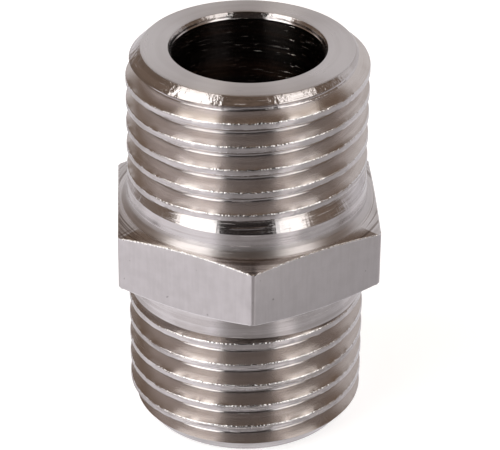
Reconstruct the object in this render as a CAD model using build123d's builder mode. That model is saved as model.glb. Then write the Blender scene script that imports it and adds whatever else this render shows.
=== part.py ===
from build123d import *
from math import cos, radians, sin, sqrt, tan
import os

# Hex nipple with a G 1/4 (BSP parallel) male thread at each end, turned in one piece from
# 14 mm hexagonal brass bar and nickel plated.
# Millimetres. The bore runs along Z, and the origin is on its axis, halfway between the end faces.

# Overall size and bore
overall_length = 21.9
bore_diameter = 8.1
mouth_diameter = 8.46          # bore mouth, where its countersink meets the end face
countersink_depth = 0.36

# Hexagon
across_flats = 14.0
hex_corner_rounding = 0.3      # rounded corners of the drawn bar
hex_top_at_corner = 1.725      # heights of the wrench flats' ends, measured at the corners
hex_bottom_at_corner = -1.346
hex_top_slope = 13.0           # degrees by which the turned top of the hexagon falls outwards
hex_bottom_slope = 17.0

# Threads
pitch = 1.337                  # 19 threads to the inch
nominal_major_diameter = 13.157
cut_major_diameter = 12.95     # the crests are left flat, a little under the nominal diameter
flank_angle = 27.5             # half of the thread's 55 degrees
upper_root_height = 8.93       # height of one groove's middle on the -Y side, for each thread
lower_root_height = -7.02

# Ends and necks
upper_face_diameter = 11.3
upper_chamfer_height = 0.825
lower_face_diameter = 11.3
lower_chamfer_height = 1.05
upper_collar_top = 3.25        # plain collar on the hexagon ends here, and the neck's cone begins
upper_neck_angle = 30.0        # cone, measured from the axis, on which the upper thread runs out
lower_shoulder = -3.15         # plain collar under the hexagon ends here, and the thread begins
collar_fillet = 0.55
lower_collar_fillet = 0.3

# Worked out from the above
half_length = overall_length / 2
bore_radius = bore_diameter / 2
mouth_radius = mouth_diameter / 2
crest_radius = cut_major_diameter / 2
upper_face_radius = upper_face_diameter / 2
lower_face_radius = lower_face_diameter / 2
corner_radius = across_flats / sqrt(3)
stock_radius = corner_radius + 0.4            # round envelope that holds the whole hexagon
hex_zone = 3.0                                # half height in which the flats are cut

sharp_height = pitch / 2 / tan(radians(flank_angle))          # height of the sharp triangle
minor_radius = nominal_major_diameter / 2 - sharp_height * 2 / 3
sharp_root_radius = minor_radius - sharp_height / 6
root_rounding = 0.137329 * pitch                              # standard root radius
tangent_radius = minor_radius + root_rounding * (1 - sin(radians(flank_angle)))
tangent_half_width = root_rounding * cos(radians(flank_angle))
cutter_radius = crest_radius + 0.27                           # groove cutter clears the crests
cutter_half_width = (cutter_radius - sharp_root_radius) * tan(radians(flank_angle))


def hex_top(radius):
    return hex_top_at_corner + (corner_radius - radius) * tan(radians(hex_top_slope))


def hex_bottom(radius):
    return hex_bottom_at_corner - (corner_radius - radius) * tan(radians(hex_bottom_slope))


def chamfer_waste(face_radius, height, end):
    # Section of the ring that a chamfer takes off, a little oversize outside the part.
    slope = height / (crest_radius - face_radius)
    margin = 0.3
    return [
        (face_radius - margin, end * (half_length + slope * margin)),
        (crest_radius + margin, end * (half_length - height - slope * margin)),
        (crest_radius + margin, end * (half_length + slope * margin)),
    ]


def groove_start(root_height, below):
    # Height, on the +X side, of the turn of the groove that lies next under a given height.
    start = root_height + pitch / 4
    while start > below:
        start -= pitch
    return start


def groove_section(height):
    # Cross-section of the thread groove in the XZ plane: two flanks and a rounded root.
    with BuildSketch(Plane.XZ) as section:
        with BuildLine():
            Line((cutter_radius, height + cutter_half_width), (tangent_radius, height + tangent_half_width))
            ThreePointArc(
                (tangent_radius, height + tangent_half_width),
                (minor_radius, height),
                (tangent_radius, height - tangent_half_width),
            )
            Line((tangent_radius, height - tangent_half_width), (cutter_radius, height - cutter_half_width))
            Line((cutter_radius, height - cutter_half_width), (cutter_radius, height + cutter_half_width))
        make_face()
    return section.sketch


def groove_path(height, turns):
    with BuildLine() as path:
        Helix(pitch=pitch, height=turns * pitch, radius=minor_radius, center=(0, 0, height))
    return path.line


# Groove of the upper thread, kept off the run-out cone and the collar
upper_start = groove_start(upper_root_height, upper_collar_top)
upper_turns = 7
neck_top = upper_collar_top + (crest_radius - sharp_root_radius) / tan(radians(upper_neck_angle))
neck_bottom = upper_collar_top - (stock_radius - crest_radius) / tan(radians(upper_neck_angle))

upper_groove_section = groove_section(upper_start)
upper_groove_path = groove_path(upper_start, upper_turns)

with BuildPart() as upper_groove:
    sweep(sections=upper_groove_section, path=upper_groove_path, is_frenet=True)
    with BuildSketch(Plane.XZ) as neck_section:
        with BuildLine():
            Polyline(
                (0, -half_length),
                (stock_radius, -half_length),
                (stock_radius, neck_bottom),
                (sharp_root_radius, neck_top),
                (0, neck_top),
                close=True,
            )
        make_face()
    revolve(axis=Axis.Z, mode=Mode.SUBTRACT)

# Groove of the lower thread, which ends at the shoulder
lower_turns = 7
lower_start = groove_start(lower_root_height, -half_length)

lower_groove_section = groove_section(lower_start)
lower_groove_path = groove_path(lower_start, lower_turns)

with BuildPart() as lower_groove:
    sweep(sections=lower_groove_section, path=lower_groove_path, is_frenet=True)
    with BuildSketch(Plane.XY.offset(lower_shoulder)):
        Circle(stock_radius)
    extrude(amount=half_length, mode=Mode.SUBTRACT)

# Outline of the hexagonal bar, with a corner on the -Y side
with BuildSketch() as hexagon:
    RegularPolygon(radius=corner_radius, side_count=6, rotation=30)
    fillet(hexagon.vertices(), radius=hex_corner_rounding)

# The nipple: a turned blank, the hexagon, and the two threads
with BuildPart() as nipple_body:
    with BuildSketch(Plane.XZ) as turned_section:
        with BuildLine():
            Polyline(
                (bore_radius, half_length - countersink_depth),
                (mouth_radius, half_length),
                (crest_radius, half_length),
                (crest_radius, hex_top(crest_radius)),
                (stock_radius, hex_top(stock_radius)),
                (stock_radius, hex_bottom(stock_radius)),
                (crest_radius, hex_bottom(crest_radius)),
                (crest_radius, -half_length),
                (mouth_radius, -half_length),
                (bore_radius, -half_length + countersink_depth),
                close=True,
            )
        make_face()
        upper_corner = turned_section.vertices().sort_by_distance(
            (crest_radius, hex_top(crest_radius), 0)
        )[0]
        fillet(upper_corner, radius=collar_fillet)
        lower_corner = turned_section.vertices().sort_by_distance(
            (crest_radius, hex_bottom(crest_radius), 0)
        )[0]
        fillet(lower_corner, radius=lower_collar_fillet)
    revolve(axis=Axis.Z)

    with BuildSketch(Plane.XY.offset(-hex_zone)):
        Circle(stock_radius + 1)
        add(hexagon.sketch, mode=Mode.SUBTRACT)
    extrude(amount=2 * hex_zone, mode=Mode.SUBTRACT)

    add(upper_groove.part, mode=Mode.SUBTRACT)
    add(lower_groove.part, mode=Mode.SUBTRACT)

    # The ends are chamfered last, through the threads
    with BuildSketch(Plane.XZ):
        with BuildLine():
            Polyline(*chamfer_waste(upper_face_radius, upper_chamfer_height, 1), close=True)
        make_face()
        with BuildLine():
            Polyline(*chamfer_waste(lower_face_radius, lower_chamfer_height, -1), close=True)
        make_face()
    revolve(axis=Axis.Z, mode=Mode.SUBTRACT)

nipple_body.part.label = "nipple_body"

os.makedirs("parts", exist_ok=True)
export_step(nipple_body.part, "parts/nipple_body.step")
print("nipple_body", nipple_body.part.is_valid, nipple_body.part.volume, nipple_body.part.bounding_box())
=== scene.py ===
import math

import bmesh
import bpy
from mathutils import Matrix, Vector, noise


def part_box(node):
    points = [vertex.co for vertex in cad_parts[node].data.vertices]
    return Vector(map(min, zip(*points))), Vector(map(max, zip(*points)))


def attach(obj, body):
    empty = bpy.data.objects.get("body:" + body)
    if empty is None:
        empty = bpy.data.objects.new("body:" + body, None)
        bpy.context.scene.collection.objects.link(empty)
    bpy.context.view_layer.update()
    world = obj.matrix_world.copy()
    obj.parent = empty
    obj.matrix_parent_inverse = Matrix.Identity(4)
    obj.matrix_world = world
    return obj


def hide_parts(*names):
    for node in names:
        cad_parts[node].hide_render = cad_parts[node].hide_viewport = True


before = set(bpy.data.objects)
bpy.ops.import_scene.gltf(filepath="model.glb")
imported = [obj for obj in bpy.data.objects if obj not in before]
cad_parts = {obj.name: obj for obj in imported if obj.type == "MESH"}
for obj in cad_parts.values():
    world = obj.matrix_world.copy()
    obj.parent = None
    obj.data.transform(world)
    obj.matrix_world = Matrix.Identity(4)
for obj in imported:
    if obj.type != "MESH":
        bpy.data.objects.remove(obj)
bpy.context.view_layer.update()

mm = 0.001
nodeLow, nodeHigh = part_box("nipple_body")

# ---- sizes, in millimetres
nipple = {
    "halfLength": nodeHigh[2] / mm,
    "flatDistance": nodeHigh[0] / mm,
    "bore": 4.05,
    "mouth": 4.23,
    "countersink": 0.36,
    "face": 5.65,
    "crest": 6.475,
    "upperChamfer": 0.825,
    "lowerChamfer": 1.05,
    "collarTop": 3.25,
    "collarTopRadius": 6.505,
    "neckAngle": 30,              # from the axis
    "cornerTop": 1.725,           # heights of the hexagon's corners
    "cornerBottom": -1.346,
    "topSlope": 13,
    "bottomSlope": 17,
    "cornerRounding": 0.3,
    "edgeBreak": 0.065,
    "stockMargin": 0.4,
    "steps": 384,                 # round the axis
}
thread = {
    "pitch": 1.337,
    "minor": 5.722,
    "sharpRoot": 5.508,
    "rootRounding": 0.1836,
    "flank": 27.5,
    "crestBreak": 0.04,           # how deep the broken crest edge goes
    "clearance": 0.3,
    "upperRoot": 8.93,            # one groove's height on the -Y side
    "lowerRoot": -7.02,
    "shoulder": -3.15,
    "stepsPerTurn": 240,
    "burr": 0.032,
}


def hexTop(radius):
    corner = nipple["flatDistance"] / math.cos(math.radians(30))
    return nipple["cornerTop"] + (corner - radius) * math.tan(math.radians(nipple["topSlope"]))


def hexBottom(radius):
    corner = nipple["flatDistance"] / math.cos(math.radians(30))
    return nipple["cornerBottom"] - (corner - radius) * math.tan(math.radians(nipple["bottomSlope"]))


def roundOff(outline, segments=4):
    # swaps each corner (r, z, rounding) of a closed outline for an arc
    rounded = []
    for i, (r, z, rounding) in enumerate(outline):
        here = Vector((r, z))
        if not rounding:
            rounded.append(here)
            continue
        before = (Vector(outline[i - 1][:2]) - here).normalized()
        after = (Vector(outline[(i + 1) % len(outline)][:2]) - here).normalized()
        half = before.angle(after) / 2
        middle = here + (before + after).normalized() * rounding / math.sin(half)
        start = here + before * rounding / math.tan(half) - middle
        end = here + after * rounding / math.tan(half) - middle
        for k in range(segments + 1):
            rounded.append(middle + rounding * start.slerp(end, k / segments))
    return rounded


def spunSolid(outline, steps):
    shape = bmesh.new()
    corners = [shape.verts.new((p[0] * mm, 0, p[1] * mm)) for p in outline]
    edges = [shape.edges.new(pair) for pair in zip(corners, corners[1:] + corners[:1])]
    bmesh.ops.spin(shape, geom=corners + edges, axis=(0, 0, 1), angle=math.tau, steps=steps,
                   use_merge=True)
    bmesh.ops.remove_doubles(shape, verts=shape.verts, dist=1e-7)
    bmesh.ops.recalc_face_normals(shape, faces=shape.faces)
    return shape


def toObject(shape, name, materials):
    mesh = bpy.data.meshes.new(name)
    shape.to_mesh(mesh)
    shape.free()
    for material in materials:
        mesh.materials.append(material)
    piece = bpy.data.objects.new(name, mesh)
    bpy.context.scene.collection.objects.link(piece)
    return piece


class Signal:
    # an output socket that takes part in Python arithmetic
    def __init__(self, shader, socket):
        self.shader = shader
        self.socket = socket

    def math(self, operation, *others):
        values = dict(enumerate((self,) + others))
        return self.shader.node("ShaderNodeMath", {"operation": operation}, values)

    def __add__(self, other):
        return self.math("ADD", other)

    def __sub__(self, other):
        return self.math("SUBTRACT", other)

    def __mul__(self, other):
        return self.math("MULTIPLY", other)

    def __truediv__(self, other):
        return self.math("DIVIDE", other)

    def __rsub__(self, other):
        return self.shader.node("ShaderNodeMath", {"operation": "SUBTRACT"}, {0: other, 1: self})

    __radd__ = __add__
    __rmul__ = __mul__


class Shader:
    # the node tree of a material or of the world
    def __init__(self, owner):
        owner.use_nodes = True
        self.tree = owner.node_tree
        self.tree.nodes.clear()

    def node(self, kind, settings=None, values=None, output=0):
        made = self.tree.nodes.new(kind)
        for name, setting in (settings or {}).items():
            if name == "stops":
                ramp = made.color_ramp.elements
                while len(ramp) < len(setting):
                    ramp.new(1)
                for stop, (place, colour) in zip(ramp, setting):
                    stop.position = place
                    stop.color = (*colour, 1)
            else:
                setattr(made, name, setting)
        for name, value in (values or {}).items():
            if isinstance(value, Signal):
                self.tree.links.new(value.socket, made.inputs[name])
            else:
                made.inputs[name].default_value = value
        if output is None:                           # an output node has no sockets to pass on
            return None
        return Signal(self, made.outputs[output])

    def between(self, value, low, high, toLow=0.0, toHigh=1.0):
        # a soft step of a value from low to high
        return self.node("ShaderNodeMapRange", {"interpolation_type": "SMOOTHSTEP"},
                         {0: value, 1: low, 2: high, 3: toLow, 4: toHigh})

    def mix(self, factor, colourA, colourB, blend="MIX"):
        return self.node("ShaderNodeMix", {"data_type": "RGBA", "blend_type": blend},
                         {0: factor, 6: colourA, 7: colourB}, output=2)


def boolean(body, tool, operation):
    # applies an exact Boolean and leaves the result on the body
    cut = body.modifiers.new("cut", "BOOLEAN")
    cut.operation = operation
    cut.solver = "EXACT"
    cut.object = tool
    graph = bpy.context.evaluated_depsgraph_get()
    made = bpy.data.meshes.new_from_object(body.evaluated_get(graph))
    body.modifiers.clear()
    body.data = made
    bpy.data.objects.remove(tool)


def turnedBlank(materials):
    # everything that the lathe makes, with a plain disc where the hexagon will be
    n = nipple
    top, crest = n["halfLength"], n["crest"]
    disc = n["flatDistance"] / math.cos(math.radians(30)) + n["stockMargin"]
    neckStart = n["collarTop"] + (n["collarTopRadius"] - crest) / math.tan(math.radians(n["neckAngle"]))
    outline = [
        (n["bore"], top - n["countersink"], 0.06),
        (n["mouth"], top, 0.03),
        (n["face"], top, 0.10),
        (crest, top - n["upperChamfer"], 0.15),
        (crest, neckStart, 0),
        (n["collarTopRadius"], n["collarTop"], 0.02),
        (6.52, 2.62, 0.3),
        (6.565, 2.30, 0.12),
        (6.78, hexTop(6.78), 0.12),
        (disc, hexTop(disc), 0),
        (disc, hexBottom(disc), 0),
        (crest, hexBottom(crest), 0.3),
        (crest, -top + n["lowerChamfer"], 0.15),
        (n["face"], -top, 0.10),
        (n["mouth"], -top, 0.03),
        (n["bore"], -top + n["countersink"], 0.06),
    ]
    shape = spunSolid(roundOff(outline), n["steps"])
    for side in range(6):                            # the six wrench flats
        across = Matrix.Rotation(math.radians(60 * side), 3, "Z") @ Vector((1, 0, 0))
        everything = shape.verts[:] + shape.edges[:] + shape.faces[:]
        cut = bmesh.ops.bisect_plane(shape, geom=everything, dist=1e-8, clear_outer=True,
                                     plane_co=across * n["flatDistance"] * mm, plane_no=across)
        rim = [e for e in cut["geom_cut"] if isinstance(e, bmesh.types.BMEdge)]
        bmesh.ops.contextual_create(shape, geom=rim)
    bmesh.ops.recalc_face_normals(shape, faces=shape.faces)
    corners = [e for e in shape.edges if abs(e.verts[0].co.z - e.verts[1].co.z) > 2 * mm
               and e.verts[0].co.xy.length > (n["flatDistance"] + 1) * mm]
    bmesh.ops.bevel(shape, geom=corners, affect="EDGES", segments=5, profile=0.5, material=-1,
                    offset=n["cornerRounding"] * math.tan(math.radians(30)) * mm)
    rims = [e for e in shape.edges if e.is_manifold and max(v.co.xy.length for v in e.verts) > 6.99 * mm
            and abs(e.link_faces[0].normal.z - e.link_faces[1].normal.z) > 0.7]
    bmesh.ops.bevel(shape, geom=rims, affect="EDGES", segments=2, profile=0.5, material=-1,
                    offset=n["edgeBreak"] * mm, clamp_overlap=False)
    return toObject(shape, "turned_nipple", materials)



def grooveSection():
    # half of the groove from its root to beyond the crest: (radius, height over the root's middle)
    t = thread
    lean = math.radians(t["flank"])
    points = []
    for k in range(5):                               # the rounded root
        turn = (math.pi / 2 - lean) * k / 4
        points.append((t["minor"] + t["rootRounding"] * (1 - math.cos(turn)),
                       t["rootRounding"] * math.sin(turn)))
    breakStart = nipple["crest"] - t["crestBreak"]
    for radius in (5.95, 6.2, breakStart - 0.03, breakStart):
        points.append((radius, (radius - t["sharpRoot"]) * math.tan(lean)))
    lastHeight = points[-1][1]
    for radius, angle in ((nipple["crest"] - 0.015, 45), (nipple["crest"] + 0.01, 62),
                          (nipple["crest"] + t["clearance"], 0)):
        lastHeight += (radius - points[-1][0]) * math.tan(math.radians(angle))
        points.append((radius, lastHeight))
    return points


def closeHoles(shape):
    rim = [e for e in shape.edges if len(e.link_faces) == 1]
    bmesh.ops.holes_fill(shape, edges=rim)
    bmesh.ops.recalc_face_normals(shape, faces=shape.faces)


def grooveTool(name, rootHeight, fromHeight, toHeight, materials):
    # solid of the helical groove, wound right-handed from below fromHeight to above toHeight
    t = thread
    half = grooveSection()
    section = [(r, -h) for r, h in reversed(half)] + half[1:]
    start = rootHeight + t["pitch"] / 4
    while start > fromHeight:
        start -= t["pitch"]
    turns = math.ceil((toHeight - start) / t["pitch"])
    shape = bmesh.new()
    corners = [shape.verts.new((r * mm, 0, (start + h) * mm)) for r, h in section]
    edges = [shape.edges.new(pair) for pair in zip(corners, corners[1:] + corners[:1])]
    bmesh.ops.spin(shape, geom=corners + edges, axis=(0, 0, 1), angle=math.tau, steps=t["stepsPerTurn"],
                   dvec=(0, 0, t["pitch"] * mm / t["stepsPerTurn"]))
    oneTurn = shape.verts[:] + shape.edges[:] + shape.faces[:]
    for turn in range(1, turns):
        copy = bmesh.ops.duplicate(shape, geom=oneTurn)["geom"]
        bmesh.ops.translate(shape, vec=(0, 0, turn * t["pitch"] * mm),
                            verts=[v for v in copy if isinstance(v, bmesh.types.BMVert)])
    bmesh.ops.remove_doubles(shape, verts=shape.verts, dist=1e-7)
    closeHoles(shape)
    rootEnd = half[4][0]
    for face in shape.faces:
        middle = face.calc_center_median().xy.length / mm
        onBreak = nipple["crest"] - t["crestBreak"] < middle < nipple["crest"] + 0.01
        if onBreak:
            face.material_index = 3                  # the broken edge of a crest
        elif middle > rootEnd:
            face.material_index = 4                  # a flank
    for corner in shape.verts:                       # burrs make the crest's edges uneven
        radius = corner.co.xy.length / mm
        if radius > nipple["crest"] - t["crestBreak"] - 0.01:
            spot = corner.co / mm
            rough = noise.noise(spot * 3.1) + 0.6 * noise.noise(spot * 9.0)
            corner.co.z += rough * t["burr"] * mm
    return toObject(shape, name, materials)


def neckTool():
    # the metal that the upper thread's tool left: everything under the run-out cone
    n = nipple
    wide = n["crest"] + 2
    lean = math.tan(math.radians(n["neckAngle"]))
    outline = [
        (0.5, -2, 0),
        (wide, -2, 0),
        (wide, n["collarTop"] - (wide - n["collarTopRadius"]) / lean, 0),
        (5.2, n["collarTop"] + (n["collarTopRadius"] - 5.2) / lean, 0),
        (0.5, n["collarTop"] + (n["collarTopRadius"] - 5.2) / lean, 0),
    ]
    return toObject(spunSolid(roundOff(outline), n["steps"] // 2), "neck_tool", [])


def shoulderTool():
    # the plain collar that the lower thread's tool stopped at
    wide = nipple["crest"] + 2
    outline = [(0.5, thread["shoulder"], 0), (wide, thread["shoulder"], 0), (wide, 2, 0), (0.5, 2, 0)]
    return toObject(spunSolid(roundOff(outline), nipple["steps"] // 2), "shoulder_tool", [])


def makeNipple(materials):
    body = turnedBlank(materials)
    upper = grooveTool("upper_groove", thread["upperRoot"], nipple["collarTop"] - 0.3,
                       nipple["halfLength"] + 0.6, materials)
    boolean(upper, neckTool(), "DIFFERENCE")
    boolean(body, upper, "DIFFERENCE")
    lower = grooveTool("lower_groove", thread["lowerRoot"], -nipple["halfLength"] - 0.6,
                       thread["shoulder"] + 0.6, materials)
    boolean(lower, shoulderTool(), "DIFFERENCE")
    boolean(body, lower, "DIFFERENCE")
    flatEdge = (nipple["flatDistance"] - 0.01) * mm
    for face in body.data.polygons:
        middle, facing = face.center, face.normal
        if middle.dot(facing) > flatEdge and abs(facing.z) < 0.02:
            face.material_index = 1                  # a wrench flat or its rounded corner
        elif middle.xy.length < (nipple["bore"] + 0.01) * mm:
            face.material_index = 2                  # the bore's wall
        elif middle.xy.length > (nipple["flatDistance"] - 0.08) * mm and abs(facing.z) < 0.93:
            face.material_index = 3                  # the burred edge between a flat and a cone
    body.data.shade_smooth()
    body.data.set_sharp_from_angle(angle=math.radians(28))
    return body


# ---- finishes, with lengths in millimetres
plate = {
    "colour": (0.62, 0.585, 0.575, 1),
    "dullColour": (0.50, 0.465, 0.45, 1),
    "ringColour": (0.22, 0.18, 0.16, 1),
    "roughness": 0.19,
    "smear": 0.9,
    "lines": 9.0,                 # turning lines to the millimetre
    "lineLength": 7.0,
    "lineDepth": 0.0016,
    "scratchDepth": 0.004,
    "tornDepth": 0.014,
    "chatterDepth": 0.02,
    "chamferDepth": 0.055,
    "chamferReach": 0.9,
}
flanks = {
    # the flanks' own rougher cut finish, with colours lighter than the crests' plating as painted light in
    # the shaded grooves
    "colour": (0.67, 0.62, 0.59, 1),
    "dullColour": (0.57, 0.515, 0.48, 1),
    "roughness": 0.25,
    "smear": 1.0,
    "lines": 9.0,
    "lineLength": 5.0,
    "lineDepth": 0.0016,
}
flats = {
    "colour": (0.60, 0.565, 0.56, 1),
    "dullColour": (0.555, 0.522, 0.515, 1),
    "paintedShadeTone": 0.95,              # painted shade: the flats on +X are darkened for the dimmer light they reflect
    "pitColour": (0.2, 0.18, 0.17, 1),
    "roughness": 0.34,
    "smear": 0.5,
    "lineDepth": 0.0012,
}
bore = {
    # the bore's own duller unplated metal, darkened further to near black as painted shade inside the hole
    "colour": (0.095, 0.082, 0.077, 1),
    "streakColour": (0.23, 0.145, 0.11, 1),
    "scratchColour": (0.75, 0.72, 0.68, 1),
    "roughness": 0.22,
    "lineDepth": 0.004,
}
burrs = {
    "colour": (0.72, 0.70, 0.69, 1),
    "roughness": 0.13,
    "grain": 7.0,
    "depth": 0.05,
}


class Lathe(Shader):
    # the signals that every finish of a turned part is made from
    def __init__(self, name):
        self.material = bpy.data.materials.new(name)
        super().__init__(self.material)
        self.place = self.node("ShaderNodeVectorMath", {"operation": "SCALE"},
                               {0: self.node("ShaderNodeTexCoord", output="Object"), "Scale": 1 / mm})
        self.x, self.y, self.z = (self.node("ShaderNodeSeparateXYZ", None, {0: self.place}, output=axis)
                                  for axis in "XYZ")
        self.radius = (self.x * self.x + self.y * self.y).math("SQRT")

    def turned(self, fineness, length, seed=0.0):
        # lines that follow the thread's helix, without a seam, and change slowly along it
        phase = self.z * (math.tau / thread["pitch"])
        east, north = self.x / self.radius, self.y / self.radius
        turn = fineness * thread["pitch"] / math.tau
        across = (east * phase.math("COSINE") + north * phase.math("SINE")) * turn
        along = (east * phase.math("SINE") - north * phase.math("COSINE")) * turn
        point = self.node("ShaderNodeCombineXYZ", None, {0: across, 1: along, 2: self.radius * fineness})
        return self.node("ShaderNodeTexNoise", {"noise_dimensions": "4D"},
                         {"Vector": point, "W": self.z * length + seed, "Scale": 1.0, "Detail": 2.0})

    def grain(self, scale, detail=2.0, seed=0.0):
        return self.node("ShaderNodeTexNoise", {"noise_dimensions": "4D"},
                         {"Vector": self.place, "W": seed, "Scale": scale, "Detail": detail})

    def bump(self, height, depth):
        return self.node("ShaderNodeBump", None, {"Height": height, "Distance": depth * mm})

    def finished(self, sockets):
        surface = self.node("ShaderNodeBsdfPrincipled", None, {"Metallic": 1.0, **sockets})
        self.node("ShaderNodeOutputMaterial", None, {"Surface": surface}, output=None)
        return self.material


def turnedPlating():
    lathe = Lathe("turned_plating")
    top = nipple["halfLength"]
    lines = lathe.turned(plate["lines"], plate["lineLength"])
    coarse = lathe.turned(3.0, 2.0, 11.0)
    scratch = lathe.between(lathe.turned(13.0, 26.0, 50.0), 0.66, 0.72)
    wear = lathe.grain(0.55, 3.0)
    depth = lathe.z.math("ABSOLUTE")
    onEnd = lathe.between(depth, top - 0.03, top - 0.01)         # the flat end faces are smoother
    onChamfer = lathe.between(depth, top - plate["chamferReach"], top - 0.75) * (1 - onEnd)
    onChamfer = onChamfer * lathe.between(lathe.radius, 5.5, 5.75)
    onMouth = lathe.between(depth, top - 0.3, top - 0.15) * (1 - lathe.between(lathe.radius, 4.21, 4.25))
    cove = lathe.between(lathe.z, 1.9, 2.0) * (1 - lathe.between(lathe.z, 2.35, 2.7))
    cove = cove * lathe.between(lathe.radius, 6.5, 6.54) * (1 - lathe.between(lathe.radius, 6.75, 6.95))
    ring = lathe.between(lathe.turned(6.0, 0.8, 80.0), 0.5, 0.6) * lathe.between(lathe.radius, 6.75, 6.9)
    onNeck = lathe.between(lathe.z, 3.22, 3.28) * (1 - lathe.between(lathe.z, 3.9, 4.2))
    onNeck = onNeck * (1 - lathe.between(lathe.radius, 6.42, 6.46))
    torn = lathe.between(lathe.turned(7.0, 5.0, 90.0), 0.5, 0.68) * lathe.between(wear, 0.42, 0.6) * onNeck
    dents = lathe.grain(2.1, 3.0, 6.0)
    height = (lines * (0.5 + wear) + coarse * 0.8) * (1 - 0.85 * onEnd)
    height = height + scratch * (1 - onEnd) * (plate["scratchDepth"] / plate["lineDepth"])
    height = height + torn * (plate["tornDepth"] / plate["lineDepth"])
    lowCrest = (1 - lathe.between(lathe.z, -4.4, -3.9)) * lathe.between(lathe.radius, 6.44, 6.46)
    chatter = lathe.between(lathe.turned(14.0, 9.0, 120.0), 0.5, 0.7) * lowCrest
    height = height + chatter * (plate["chatterDepth"] / plate["lineDepth"])
    height = height + dents * (onChamfer + onMouth) * (plate["chamferDepth"] / plate["lineDepth"])
    dull = lathe.between(coarse * 0.6 + wear * 0.4, 0.42, 0.62) * (1 - 0.7 * onEnd)
    colour = lathe.mix(dull, plate["colour"], plate["dullColour"])
    return lathe.finished({
        "Base Color": lathe.mix(ring * 0.75, colour, plate["ringColour"]),
        "Roughness": plate["roughness"] + (lines - 0.5) * 0.10 + dull * 0.04 + onEnd * 0.1 + cove * 0.2,
        "Normal": lathe.bump(height, plate["lineDepth"]),
        "Anisotropic": plate["smear"], "Anisotropic Rotation": 0.25})


def threadPlating():
    lathe = Lathe("thread_plating")
    lines = lathe.turned(flanks["lines"], flanks["lineLength"])
    coarse = lathe.turned(3.0, 2.0, 15.0)
    wear = lathe.grain(0.55, 3.0)
    lower = 1 - lathe.between(lathe.z, -3.0, 0.0)                # the lower thread is duller
    dull = lathe.between(coarse * 0.6 + wear * 0.4 + lower * 0.12, 0.42, 0.62)
    return lathe.finished({
        # painted light: a lighter copy of the plating colour brightens the shaded flanks
        "Base Color": lathe.mix(dull, flanks["colour"], flanks["dullColour"]),
        "Roughness": flanks["roughness"] + (lines - 0.5) * 0.10,
        "Normal": lathe.bump(lines * (0.5 + wear) + coarse * 0.8, flanks["lineDepth"]),
        "Anisotropic": flanks["smear"], "Anisotropic Rotation": 0.25})


def drawnPlating():
    lathe = Lathe("drawn_plating")
    stretched = lathe.node("ShaderNodeVectorMath", {"operation": "MULTIPLY"},
                           {0: lathe.place, 1: (7.0, 7.0, 0.5)})
    lines = lathe.node("ShaderNodeTexNoise", None, {"Vector": stretched, "Scale": 1.0, "Detail": 3.0})
    mottle = lathe.grain(1.6, 4.0)
    pit = lathe.between(lathe.grain(4.6, 0.0, 9.0), 0.82, 0.85)
    fine = lathe.grain(14.0, 1.0, 5.0)
    dull = lathe.between(mottle * 0.6 + lines * 0.4, 0.35, 0.65)
    colour = lathe.mix(dull, flats["colour"], flats["dullColour"])
    # painted shade: the wrench flats on the +X side get a darker colour, standing in for the dimmer light
    # on that side
    paintedShadeSide = lathe.between(lathe.x, -0.2, 0.3) * (1 - lathe.between(lathe.x, 6.75, 6.9))
    paintedShadeScale = 1 - paintedShadeSide * (1 - flats["paintedShadeTone"])
    colour = lathe.node("ShaderNodeVectorMath", {"operation": "SCALE"}, {0: colour, "Scale": paintedShadeScale})
    return lathe.finished({
        "Base Color": lathe.mix(pit * 0.55, colour, flats["pitColour"]),
        "Roughness": flats["roughness"] + (mottle - 0.5) * 0.2,
        "Normal": lathe.bump(lines + fine * 0.8 + mottle * 2.0 - pit * 3.0, flats["lineDepth"]),
        "Anisotropic": flats["smear"]})


def borePlating():
    lathe = Lathe("bore_plating")
    lines = lathe.turned(6.0, 4.0, 21.0)
    streaks = lathe.turned(1.2, 0.6, 30.0)
    scratch = lathe.between(lathe.turned(18.0, 50.0, 40.0), 0.66, 0.72)
    # near-black bore colour: darker unplated metal and painted shade of the hole
    colour = lathe.mix(lathe.between(streaks, 0.5, 0.7), bore["colour"], bore["streakColour"])
    return lathe.finished({
        "Base Color": lathe.mix(scratch, colour, bore["scratchColour"]),
        "Roughness": bore["roughness"] + (lines - 0.5) * 0.2,
        "Normal": lathe.bump(lines + scratch, bore["lineDepth"]),
        "Anisotropic": plate["smear"], "Anisotropic Rotation": 0.25})


def burredPlating():
    lathe = Lathe("burred_plating")
    grain = lathe.grain(burrs["grain"], 2.0, 3.0)
    return lathe.finished({
        "Base Color": burrs["colour"],
        "Roughness": burrs["roughness"],
        "Normal": lathe.bump(grain, burrs["depth"])})


print("making the nipple")
body = makeNipple([turnedPlating(), drawnPlating(), borePlating(), burredPlating(), threadPlating()])
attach(body, "root")
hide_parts("nipple_body")
print("faces", len(body.data.polygons), "triangles", sum(len(p.vertices) - 2 for p in body.data.polygons))


# ---- stage, lights and camera
studio = {
    "cameraAzimuth": -2.685,
    "cameraElevation": 30.594,
    "cameraDistance": 133.1,
    "cameraRoll": 0.485,
    "lens": 174.9,
    "shift": (0.00704, 0.0011),
    "floorSize": 3.0,
    "floorGlow": 0.6,
}
softboxes = {                     # angles from the camera's side, sizes in metres
    "left_softbox": {"azimuth": -49.5, "elevation": 27, "width": 0.305, "from": -0.28, "to": 0.5,
                     "radiance": 2.3, "colour": (1, 1, 1)},
    "left_reflector": {"azimuth": -49.5, "elevation": 27, "width": 0.305, "from": 0.5, "to": 3.5,
                       "radiance": 0.95, "colour": (1, 0.95, 0.86)},
    "right_softbox": {"azimuth": 46, "elevation": 29, "width": 0.24, "from": -0.2, "to": 0.5,
                      "radiance": 1.8, "colour": (1, 1, 1)},
    "right_reflector": {"azimuth": 46, "elevation": 29, "width": 0.24, "from": 0.5, "to": 2.0,
                        "radiance": 0.5, "colour": (1, 0.94, 0.86)},
}
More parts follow.
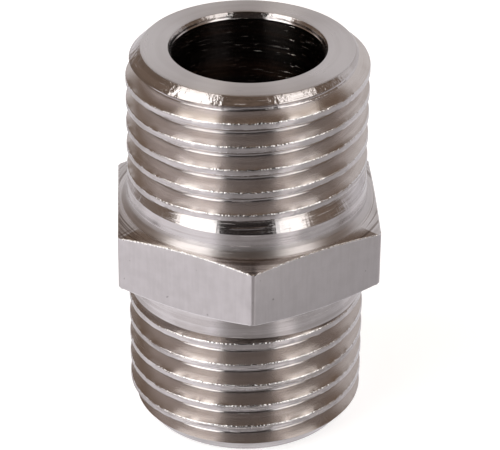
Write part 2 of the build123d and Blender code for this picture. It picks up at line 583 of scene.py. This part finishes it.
softboxDistance = 0.5
softboxLean = 52                  # the strips rise backwards over the nipple at this angle


def towards(azimuth, elevation):
    # unit vector from the nipple at angles measured from the camera's side
    a = math.radians(azimuth + studio["cameraAzimuth"])
    e = math.radians(elevation)
    return Vector((math.sin(a) * math.cos(e), -math.cos(a) * math.cos(e), math.sin(e)))


def makeFloor():
    shape = bmesh.new()
    bmesh.ops.create_grid(shape, x_segments=1, y_segments=1, size=studio["floorSize"] / 2)
    bmesh.ops.translate(shape, verts=shape.verts, vec=(0, 0, nodeLow[2] - 0.00002))
    material = bpy.data.materials.new("pale_floor")
    shader = Shader(material)
    surface = shader.node("ShaderNodeBsdfPrincipled", None, {
        "Base Color": (0.9, 0.9, 0.9, 1), "Roughness": 0.9, "Emission Color": (1, 1, 1, 1),
        "Emission Strength": studio["floorGlow"]})
    shader.node("ShaderNodeOutputMaterial", None, {"Surface": surface}, output=None)
    floor = toObject(shape, "floor", [material])
    floor.visible_glossy = False                     # the metal sees the room's table instead


room = {
    "ceiling": (0.205, 0.150, 0.115, 1),
    "cameraSide": (0.02, 0.017, 0.016, 1),
    "backdrop": (0.72, 0.70, 0.71, 1),
    "table": (0.53, 0.515, 0.53, 1),
    "backdropAzimuth": 160,
    "backdropHalfWidth": 47,
    "wall": (0.74, 0.725, 0.76, 1),
    "wallAzimuth": 122,
    "wallHalfWidth": 24,
}
tableGlow = {                     # what the metal sees below the horizon
    "front": {"azimuth": 4, "halfWidth": 19, "softness": 10, "colour": (0.37, 0.35, 0.355, 1)},
    "left": {"azimuth": -72, "halfWidth": 44, "softness": 7, "colour": (1.0, 0.975, 1.02, 1)},
    "right": {"azimuth": 40, "halfWidth": 8, "softness": 5, "colour": (0.95, 0.92, 0.94, 1)},
    "back": {"azimuth": 180, "halfWidth": 65, "softness": 10, "colour": (0.78, 0.755, 0.78, 1)},
}


def makeWorld():
    world = bpy.data.worlds.new("studio")
    bpy.context.scene.world = world
    shader = Shader(world)
    direction = shader.node("ShaderNodeTexCoord", output="Generated")
    height = shader.node("ShaderNodeSeparateXYZ", None, {0: direction}, output="Z")
    level = shader.node("ShaderNodeVectorMath", {"operation": "MULTIPLY"}, {0: direction, 1: (1, 1, 0)})
    level = shader.node("ShaderNodeVectorMath", {"operation": "NORMALIZE"}, {0: level})

    def towardsSide(azimuth, halfWidth, softness):
        ahead = shader.node("ShaderNodeVectorMath", {"operation": "DOT_PRODUCT"},
                            {0: level, 1: towards(azimuth, 0)}, output="Value")
        return shader.between(ahead, math.cos(math.radians(halfWidth + softness)),
                              math.cos(math.radians(halfWidth - softness)))

    camera = towardsSide(0, 36, 3) * (1 - shader.between(height, 0.74, 0.88))
    backdrop = towardsSide(room["backdropAzimuth"], room["backdropHalfWidth"], 4)
    backdrop = backdrop * (1 - shader.between(height, 0.65, 0.70))
    colour = shader.mix(camera, room["ceiling"], room["cameraSide"])
    colour = shader.mix(backdrop, colour, room["backdrop"])
    table = room["table"]
    for glow in tableGlow.values():
        side = towardsSide(glow["azimuth"], glow["halfWidth"], glow["softness"])
        table = shader.mix(side, table, glow["colour"])
    colour = shader.mix(1 - shader.between(height, -0.03, 0.0), colour, table)
    wall = towardsSide(room["wallAzimuth"], room["wallHalfWidth"], 4)
    wall = wall * shader.between(height, -0.42, -0.34) * (1 - shader.between(height, 0.12, 0.2))
    colour = shader.mix(wall, colour, room["wall"])
    background = shader.node("ShaderNodeBackground", None, {"Color": colour, "Strength": 1.0})
    shader.node("ShaderNodeOutputWorld", None, {"Surface": background}, output=None)


def makeSoftboxes():
    # a long strip leans back over the nipple on each side, bright below and dim above
    along = towards(180, softboxLean)
    for name, box in softboxes.items():
        light = bpy.data.lights.new(name, "AREA")
        light.shape = "RECTANGLE"
        light.size = box["width"]
        light.size_y = box["to"] - box["from"]
        light.energy = box["radiance"] * math.pi * light.size * light.size_y
        light.color = box["colour"]
        lamp = bpy.data.objects.new(name, light)
        side = along.cross(towards(box["azimuth"], box["elevation"])).normalized()
        facing = side.cross(along).normalized()      # the light shines down its own -Z
        axes = Matrix((side, along, facing)).transposed()
        lamp.location = facing * softboxDistance + along * (box["to"] + box["from"]) / 2
        lamp.rotation_euler = axes.to_euler()
        lamp.visible_camera = False
        bpy.context.scene.collection.objects.link(lamp)


def makeCamera():
    camera = bpy.data.objects.new("camera", bpy.data.cameras.new("camera"))
    camera.data.lens = studio["lens"]
    camera.data.sensor_width = 36
    camera.data.shift_x, camera.data.shift_y = studio["shift"]
    camera.data.clip_start = 0.001
    aim = towards(0, studio["cameraElevation"])
    camera.location = aim * studio["cameraDistance"] * mm
    roll = Matrix.Rotation(math.radians(studio["cameraRoll"]), 4, "Z")
    camera.rotation_euler = (aim.to_track_quat("Z", "Y").to_matrix().to_4x4() @ roll).to_euler()
    bpy.context.scene.collection.objects.link(camera)
    bpy.context.scene.camera = camera


print("setting the studio")
makeFloor()
makeWorld()
makeSoftboxes()
makeCamera()
bpy.context.scene.view_settings.view_transform = "Standard"
